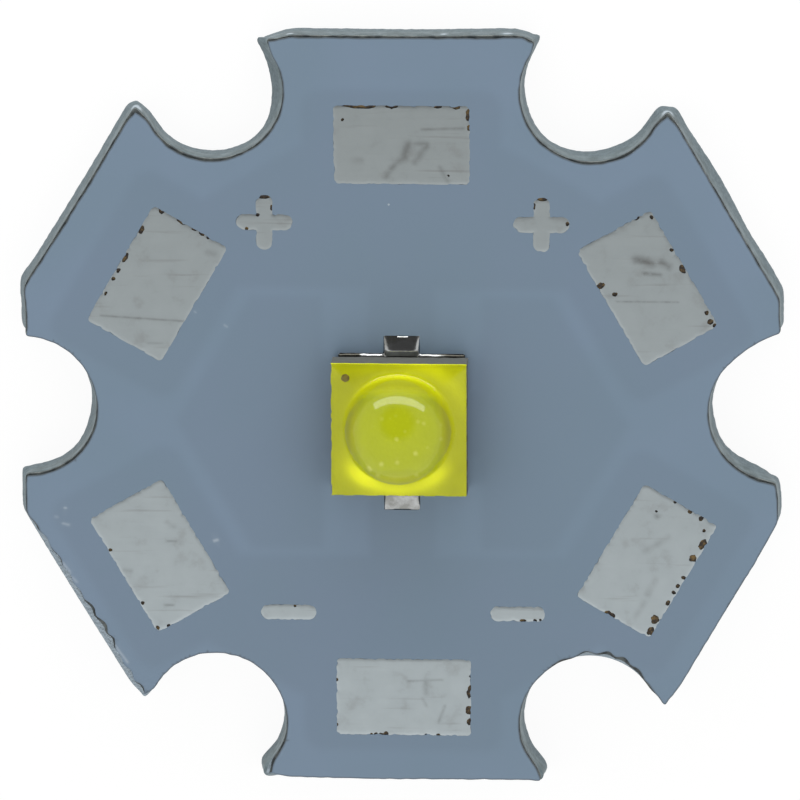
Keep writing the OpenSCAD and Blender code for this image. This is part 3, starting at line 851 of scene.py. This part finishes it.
def mask_layer(star, openings, copper, material):
    """Mask ink over board and copper: a soft step at each copper edge, worn back along the punched edge."""
    away = outward(eased(star, EDGE_EASE))
    worn = MASK_INSET + (MASK_INSET_BACK - MASK_INSET) * smooth(away[:, 1] - 0.5 * away[:, 0], 0.0, 0.6)
    nicks = MASK_WEAR * (0.3 + 0.8 * waviness(star, 0.17, 19.0))
    worn = worn * (1 + 0.7 * waviness(star, 0.9, 17.0)) + nicks
    edge = eased(star - away * np.maximum(worn + set_back(star, 0), MASK_INSET_LEAST)[:, None], 1)
    flanks = [(edge - away * MASK_EDGE_SHADE)[::2]]
    for loop in copper:
        line = resample(loop, FLANK_STEP)
        away = outward(line)
        flanks += [line + away * reach for reach in FLANK_ROWS]
    sites = np.vstack([grid(edge, MASK_GRID), *flanks, *stroke_rows(SCUFFS)])
    clear = distance(sites, edge) > EDGE_CLEAR
    for loop in openings:
        clear &= distance(sites, loop) > OPENING_CLEAR
    clear &= inside(sites, edge)

    def cover(plan):
        below = np.zeros(len(plan))
        for loop in copper:
            gap = distance(plan, loop)
            gap = np.where(inside(plan, loop), -gap, gap)
            below = np.maximum(below, 1 - smooth(gap, -FLANK_IN, FLANK_OUT))
        return below

    def top(plan):
        return MASK_TOP - MASK_DIP * (1 - cover(plan))

    def bottom(plan):
        return top(plan) - MASK_T

    # Painted shade along the mask's edge, less where the edge is chipped
    def rubbed(plan):
        fresh = np.clip(1 - 6 * set_back(plan, 0), 0, 1)
        return fresh * (1 - smooth(distance(plan, edge), 0, MASK_EDGE_SHADE))

    def scuffed(plan):
        return stroke_tone(plan, SCUFFS)

    layer = sheet("mask_layer", edge, openings, sites[clear], top, bottom, crease=30,
                  copper_below=cover, rubbed=rubbed, scuffed=scuffed)
    return dress(layer, "solder_mask", material)


def printed_opening(node):
    """Outline of one opening in the mask as it was printed: a little off its place, its edge ragged."""
    shift_x, shift_y, wider, all_round = PRINT_OFF[node]
    loop = resample(rim(node, TIN_TOP)[0], TIN_EDGE_STEP)
    out, _ = pad_axes(node, loop)
    side = np.sign((loop - middle_of(loop)) @ out)
    bleed = 0.6 * np.clip(waviness(loop, 0.3, 81.0), 0, 1) + 1.2 * np.clip(waviness(loop, 0.13, 83.0), 0, 1)
    loop = loop + np.outer(side * wider, out) + outward(loop) * (all_round - PRINT_RAGGED * bleed)[:, None]
    return loop + (shift_x, shift_y)


def pad_axes(node, loop):
    """Directions outward and along for a pad, and up and across for a mark."""
    out = middle_of(loop) - LED_CENTRE.xy if "pad" in node else np.array([0.0, 1.0])
    out = out / np.linalg.norm(out)
    return out, np.array([out[1], -out[0]])


def stroke_rows(strokes):
    """Rows of points along each stroke, a little past its ends and on both sides of it."""
    rows = []
    for x0, y0, x1, y1, half, _ in strokes:
        run = np.array([x1, y1]) - (x0, y0)
        length = np.linalg.norm(run)
        side = np.array([-run[1], run[0]]) / length * half
        past = STROKE_ROWS[-1] * half / length
        places = np.linspace(-past, 1 + past, max(5, round(length / STROKE_STEP)))
        line = (x0, y0) + np.outer(places, run)
        rows += [line + side * off for off in STROKE_ROWS]
    return rows


def stroke_tone(plan, strokes):
    """Depth of tone that strokes on the board leave at plan points."""
    depth = np.zeros(len(plan))
    for x0, y0, x1, y1, half, level in strokes:
        off = distance(plan, np.array([(x0, y0), (x1, y1)]))
        depth = np.maximum(depth, level * np.exp(-(off / half) ** 2))
    return depth


def bare_spot(centre, along, out, layer):
    """Outline of one small bare place reaching along and out from its centre, a little uneven."""
    turn = np.linspace(0, 2 * math.pi, SPOT_SIDES, endpoint=False)
    ring = np.outer(np.cos(turn), along) + np.outer(np.sin(turn), out)
    uneven = 1 + 0.4 * waviness(centre + ring, 0.07, layer)
    return centre + ring * uneven[:, None]


def tinned_area(node, material, layer):
    """Tin on one pad or mark: domed at its edge, ragged where it meets the mask, with a few bare spots."""
    outline = printed_opening(node)
    out, along = pad_axes(node, outline)
    centre = middle_of(outline)
    uneven = waviness(outline, 0.22, layer) + 0.5 * waviness(outline, 0.08, layer)
    outline = outline - outward(outline) * (TIN_RAGGED * np.clip(uneven, 0, 1))[:, None]
    spots = [bare_spot(centre + along * s + out * t, along * reach_s, out * reach_t, layer)
             for s, t, reach_s, reach_t in BARE_SPOTS[node]]
    rings = [(outline - outward(outline) * reach)[::2] for reach in TIN_ROWS]
    sites = np.vstack([grid(outline, TIN_GRID), *rings, *stroke_rows(SMUDGES)])
    clear = inside(sites, outline)
    for spot in spots:
        clear &= ~inside(sites, spot) & (distance(sites, spot) > SPOT_CLEAR)

    def top(plan):
        rise = smooth(distance(plan, outline), -0.12, TIN_SHOULDER)
        return COPPER_TOP + TIN_T * rise + TIN_RIPPLE * (waviness(plan, 0.5, layer) - 1) * rise

    def smudge(plan):
        return stroke_tone(plan, SMUDGES) * np.clip(0.8 + 0.6 * waviness(plan, 0.2, layer), 0, 1)

    name = node.replace("pad_tin", "tinned_pad").replace("mark", "tinned_mark")
    area = sheet(name, outline, spots, sites[clear], top, flat_at(COPPER_TOP), crease=50, smudge=smudge)
    return dress(area, node, material)


def solder_joint(node, side, material):
    """Solder of one land: an uneven fillet along the LED's edge, and a bead on the tab, highest near it."""
    outline = resample(rim(node, COPPER_TOP)[0], SOLDER_STEP)
    tab_end = max(side * (outline[:, 1] - LED_CENTRE.y)) - LED_HALF

    def top(plan):
        u = (plan[:, 0] - LED_CENTRE.x) / TAB_HALF
        v = (side * (plan[:, 1] - LED_CENTRE.y) - LED_HALF) / tab_end
        across = np.sqrt(np.clip(1 - u ** 4, 0, 1))
        down = np.clip((v - BEAD_PEAK) / (1 - BEAD_PEAK), 0, 1)
        up = smooth(v, -BEAD_PEAK, BEAD_PEAK)
        crest = 0.25 * np.clip(1 - (1.6 * u) ** 2, 0, 1)
        along = up * (crest * np.sqrt(1 - down ** 6) + (1 - crest) * (1 - down))
        bead = COPPER_TOP + MASK_T * 0.6 + BEAD_H * across * along
        run = SOLDER_TOP - (SOLDER_TOP - COPPER_TOP - 0.02) * np.clip(v / 0.18, 0, 1)
        run = run + 0.02 * (waviness(plan, 0.2, 31.0) - 0.3) * (v > 0)
        return np.where((v > 0) & (np.abs(u) <= 1), np.maximum(bead, run), run)

    # Darker towards the ends of the fillet along the plus side
    def flux(plan):
        off = np.abs(plan[:, 0] - LED_CENTRE.x)
        return (side > 0) * smooth(off + 0.15 * waviness(plan, 0.12, 33.0), DARKER_ENDS_FROM, DARKER_ENDS_FROM + 0.2)

    joint = sheet(node.replace("solder", "solder_joint"), outline, [], grid(outline, SOLDER_GRID),
                  top, flat_at(COPPER_TOP), crease=60, flux=flux)
    return dress(joint, node, material)


def square_loop(half, step):
    """Square outline round the middle of the LED package."""
    corners = np.array([(-half, -half), (half, -half), (half, half), (-half, half)])
    return resample(corners + PACKAGE_CENTRE, step)


def ceramic_body(material):
    """Ceramic plate of the LED, scribed and snapped: shallow scallops at the upper rim, rough below."""
    edge = square_loop(LED_HALF, SCRIBE_STEP)
    away = outward(edge)
    rings = []
    burnt = []
    clean_back = 1 - 0.9 * smooth(away[:, 1], 0.3, 0.8)
    height = CERAMIC_HIGH.z - CERAMIC_LOW.z
    for rise in np.linspace(0, 1, SCRIBE_ROWS):
        upper = float(smooth(rise, 0.55, 0.75))
        scallop = SCRIBE_DEPTH * (0.5 + 0.5 * waviness(edge, 0.1, 41.0)) * upper
        snapped = SCRIBE_DEPTH * (0.5 + 0.5 * waviness(edge, 0.25, 43.0 + 2 * rise)) * (1 - upper)
        plan = edge - away * (scallop + snapped)[:, None]
        rings.append(at_height(plan, CERAMIC_LOW.z + height * rise))
        burnt.append((0.15 + 0.85 * upper) * clean_back)
    body = stack("ceramic_body", rings, crease=50, scribe=np.concatenate(burnt))
    return dress(body, "led_ceramic", material)


def phosphor_layer(material):
    """Phosphor coat over ceramic and chip, raised softly over the chip, its outer edge slightly broken."""
    edge = square_loop(LED_HALF, SCRIBE_STEP)
    broken = PHOSPHOR_EDGE * smooth(waviness(edge, 0.3, 53.0) + 0.4 * waviness(edge, 0.1, 55.0), -0.1, 0.25)
    away = outward(edge)
    broken = broken * (1 - 0.8 * smooth(away[:, 1], 0.3, 0.8)) + 0.02 * smooth(away[:, 0], 0.3, 0.8)
    edge = edge - away * broken[:, None]
    chip_half = (CHIP_HIGH.x - CHIP_LOW.x) / 2
    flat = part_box("led_corner_dot")[0].z / MM

    def over_chip(plan):
        off = np.abs(plan - PACKAGE_CENTRE).max(axis=1) - chip_half
        return 1 - smooth(off, 0.0, CROWN_FLANK)

    def round_dome(plan, patches):
        across, up = (plan - PACKAGE_CENTRE - DOME_OFF).T
        reach = np.hypot(across, up)
        turn = np.degrees(np.arctan2(up, across))
        total = np.zeros(len(plan))
        for reach_mid, reach_half, turn_mid, turn_half, level in patches:
            off = (turn - turn_mid + 180) % 360 - 180
            total += level * np.exp(-((reach - reach_mid) / reach_half) ** 2 - (off / turn_half) ** 2)
        return total

    def gathered(plan):
        """Painted glow where the dome would throw light on the coat: an arc inside its upper rim, and
        patches outside it.
        """
        return round_dome(plan, PAINTED_CAUSTIC_GLOW)

    def shaded(plan):
        """Painted shade where the dome keeps light off the coat."""
        return round_dome(plan, DOME_SHADE)

    def top(plan):
        return flat + (PHOSPHOR_HIGH.z - flat) * over_chip(plan)

    layer = sheet("phosphor_layer", edge, [], grid(edge, PHOSPHOR_GRID), top, flat_at(PHOSPHOR_LOW.z),
                  crease=50, over_chip=over_chip, gathered=gathered, shaded=shaded)
    return dress(layer, "led_phosphor", material)


def corner_dot(material):
    """Printed dot in the LED's corner, thinner towards its rim."""
    low, high = (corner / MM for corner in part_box("led_corner_dot"))
    middle = (low + high) / 2
    radius = (high.x - low.x) / 2
    turn = np.linspace(0, 2 * math.pi, DOT_SIDES, endpoint=False)
    ring = np.column_stack([np.cos(turn), np.sin(turn)])
    uneven = 1 + 0.08 * waviness(ring * 2, 1.0, 61.0) - 0.08
    rings = []
    for share, rise in DOT_PROFILE:
        plan = np.array(middle.xy) + PACKAGE_OFF + ring * (radius * share * uneven)[:, None]
        rings.append(at_height(plan, low.z + (high.z - low.z) * rise))
    return dress(stack("corner_dot", rings), "led_corner_dot", material)


def moulded_dome(material):
    """Silicone dome on its square skirt, a hollow fillet at its foot; it runs down into the phosphor."""
    turn = np.linspace(0, 2 * math.pi, DOME_SIDES, endpoint=False)
    way = np.column_stack([np.cos(turn), np.sin(turn)])
    square = 1 / np.abs(way).max(axis=1)
    low = (PHOSPHOR_LOW.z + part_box("led_corner_dot")[0].z / MM) / 2
    foot = DOME_TOP - DOME_R
    skirt = foot - DOME_FOOT
    profile = [
        (LED_HALF - SKIRT_ROUND, low, 1),
        (LED_HALF - SKIRT_ROUND, skirt - SKIRT_ROUND, 1),
        (LED_HALF - 1.3 * SKIRT_ROUND, skirt - 0.3 * SKIRT_ROUND, 1),
        (LED_HALF - 2 * SKIRT_ROUND, skirt, 1),
    ]
    for bend in np.linspace(0, math.pi / 2, FILLET_RINGS):
        profile.append((DOME_R + DOME_FILLET * (1 - math.sin(bend)),
                        skirt + DOME_FILLET * (1 - math.cos(bend)), 0))
    rise = np.arcsin(min(1.0, max(0.0, (skirt + DOME_FILLET - foot) / DOME_R)))
    for climb in np.linspace(rise, math.pi / 2, DOME_RINGS)[1:-1]:
        profile.append((DOME_R * math.cos(climb), foot + DOME_R * math.sin(climb), 0))
    rings = []
    for reach, height, squared in profile:
        plan = PACKAGE_CENTRE + way * (reach * (square if squared else np.ones(len(way))))[:, None]
        plan = plan + np.array(DOME_OFF) * (1 - squared)
        rings.append(at_height(plan, height))
    return dress(stack("moulded_dome", rings, crease=35), "led_dome", material)


def finish_packed_nodes(finishes):
    """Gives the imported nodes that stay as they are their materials."""
    for name, material in finishes.items():
        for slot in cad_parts[name].material_slots:
            slot.material = material


def white_floor(material):
    """Wide white floor under the part."""
    half = FLOOR_SIZE / 2
    floor = write_mesh("floor", [(-half, -half, 0), (half, -half, 0), (half, half, 0), (-half, half, 0)],
                       [(0, 1, 2, 3)])
    floor.data.materials.append(material)


def studio_light():
    """A soft, even room with a dim patch overhead and one low strip light behind the plus side."""
    world = bpy.data.worlds.new("soft_room")
    world.use_nodes = True
    tree = world.node_tree
    tree.nodes.clear()
    place = add(tree, "TexCoord").outputs["Generated"]
    way = add(tree, "SeparateXYZ", {"Vector": place}).outputs
    lean = math.radians(DIM_LEAN)
    towards_patch = {0: place, 1: (0, math.sin(lean), math.cos(lean))}
    facing = add(tree, "VectorMath", towards_patch, operation="DOT_PRODUCT").outputs["Value"]
    soft = {"interpolation_type": "SMOOTHSTEP"}
    dim = remap(tree, facing, *DIM_EDGE, 1.0, DIM_LEVEL, **soft)
    side = remap(tree, way["Y"], *SIDE_SPAN, ROOM * MINUS_SIDE, ROOM * PLUS_SIDE, **soft)
    sky = add(tree, "Background", {"Color": (1, 1, 1, 1), "Strength": combine(tree, "MULTIPLY", side, dim)})
    add(tree, "OutputWorld", {"Surface": sky.outputs["Background"]})
    bpy.context.scene.world = world

    lamp = bpy.data.lights.new("strip", "AREA")
    lamp.shape = "RECTANGLE"
    lamp.size, lamp.size_y = (length * MM for length in STRIP_SIZE)
    lamp.energy = STRIP_RADIANCE * math.pi * lamp.size * lamp.size_y
    strip = bpy.data.objects.new("strip", lamp)
    rise = math.radians(STRIP_RISE)
    towards = Vector((0, math.cos(rise), math.sin(rise)))
    strip.location = (towards * STRIP_FAR + Vector((STRIP_ASIDE, 0, 0))) * MM
    strip.rotation_euler = towards.to_track_quat("Z", "Y").to_euler()
    bpy.context.scene.collection.objects.link(strip)


def photo_camera():
    """Camera at the photograph's angle, with the pattern's centre at its place in the picture."""
    lean_y, lean_x, turn = (math.radians(a) for a in (CAMERA_LEAN_Y, CAMERA_LEAN_X, CAMERA_TURN))
    unturn = Matrix.Rotation(turn, 3, "Z")
    right = unturn @ Vector((math.cos(lean_x), -math.sin(lean_y) * math.sin(lean_x),
                             -math.cos(lean_y) * math.sin(lean_x)))
    up = unturn @ Vector((0, math.cos(lean_y), -math.sin(lean_y)))
    back = right.cross(up)
    target = Vector((LED_CENTRE.x, LED_CENTRE.y, MASK_TOP))
    aim = target - right * (CENTRE_PX[0] - FRAME_PX / 2) / PX_PER_MM
    aim += up * (CENTRE_PX[1] - FRAME_PX / 2) / PX_PER_MM
    lens = bpy.data.cameras.new("camera")
    lens.sensor_width = SENSOR_W
    lens.lens = SENSOR_W * PX_PER_MM * CAMERA_FAR / FRAME_PX
    lens.clip_start = CLIP_NEAR * MM
    lens.clip_end = 2 * FLOOR_SIZE * MM
    camera = bpy.data.objects.new("camera", lens)
    turned = Matrix((right, up, back)).transposed()
    camera.matrix_world = Matrix.Translation((aim + back * CAMERA_FAR) * MM) @ turned.to_4x4()
    bpy.context.scene.collection.objects.link(camera)
    bpy.context.scene.camera = camera


def build_part():
    """Every piece of the part, from the plate up to the dome."""
    copper_nodes = ("copper_positive", "copper_negative", "copper_thermal")
    lands = ("solder_positive", "solder_negative", "solder_thermal")
    star = punched_outline()
    copper = [loop for name in copper_nodes for loop in rim(name, COPPER_TOP)]
    openings = [printed_opening(name) for name in BARE_SPOTS]
    openings += [resample(rim(name, COPPER_TOP)[0], LAND_STEP) for name in lands]
    tin = levelled_tin()
    solder = reflowed_solder()
    copper_finish = tarnished_copper()
    plating = gold_plating()

    punched_plate(star, punched_aluminium())
    insulating_layer(star, filled_epoxy())
    mask_layer(star, openings, copper, mask_ink())
    for count, name in enumerate(BARE_SPOTS):
        tinned_area(name, tin, 71.0 + count)
    solder_joint("solder_positive", 1, solder)
    solder_joint("solder_negative", -1, solder)
    ceramic_body(fired_ceramic())
    phosphor_layer(phosphor_coat())
    corner_dot(dot_ink())
    moulded_dome(clear_silicone())
    finish_packed_nodes({
        **dict.fromkeys((*copper_nodes, "led_vias"), copper_finish),
        **dict.fromkeys(("led_land_positive", "led_land_negative", "led_land_thermal",
                         "die_metal_positive", "die_metal_negative"), plating),
        "solder_thermal": solder,
        "led_chip": chip_crystal(),
    })


build_part()
white_floor(white_paper())
studio_light()
photo_camera()
bpy.context.scene.view_settings.view_transform = "Standard"
